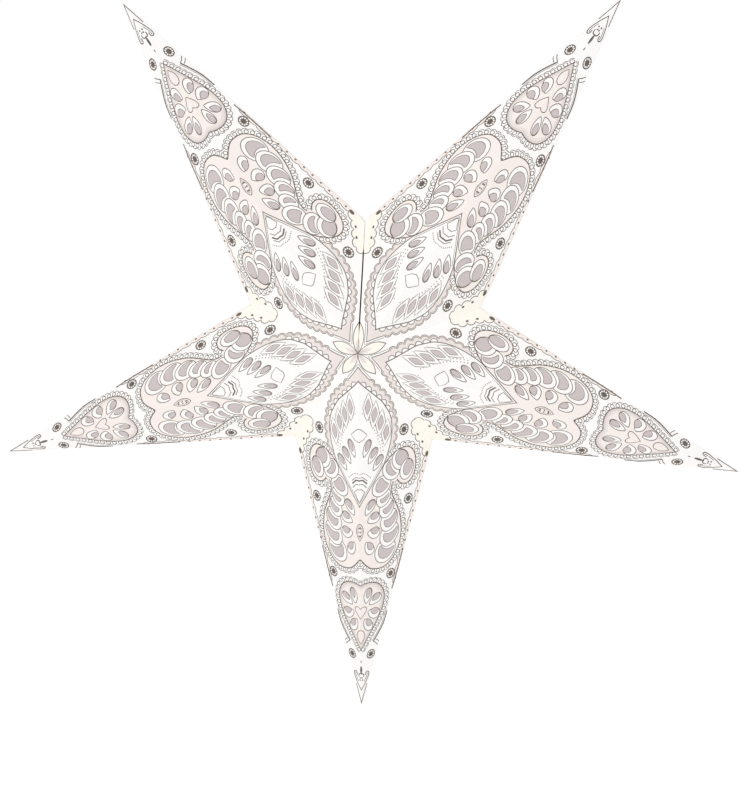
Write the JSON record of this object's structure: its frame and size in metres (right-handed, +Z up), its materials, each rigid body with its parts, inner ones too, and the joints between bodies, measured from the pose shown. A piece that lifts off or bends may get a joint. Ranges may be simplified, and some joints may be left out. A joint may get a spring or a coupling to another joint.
{
  "type": "paper star lantern",
  "caption": "Hollow pointed star of folded, window-cut paper arms lined with tissue, hung from a cord hole in its top notch to shade a lamp.",
  "frame": {"origin": "in the cord hole at the top notch, on the star's middle plane", "axes": "Z up along the cord, X across the star, front towards -Y"},
  "size_m": [0.5992, 0.12, 0.5699],
  "materials": {
    "arm_paper": "matt",
    "tissue": "matt",
    "adhesive_pad": "matt"
  },
  "bodies": {
    "root": {"upper_left_arm": "arm_paper", "upper_right_arm": "arm_paper", "right_arm": "arm_paper", "bottom_arm": "arm_paper", "left_arm": "arm_paper", "upper_left_tissue": "tissue", "upper_right_tissue": "tissue", "right_tissue": "tissue", "bottom_tissue": "tissue", "left_tissue": "tissue", "seam_pads": "adhesive_pad"}
  },
  "joints": []
}
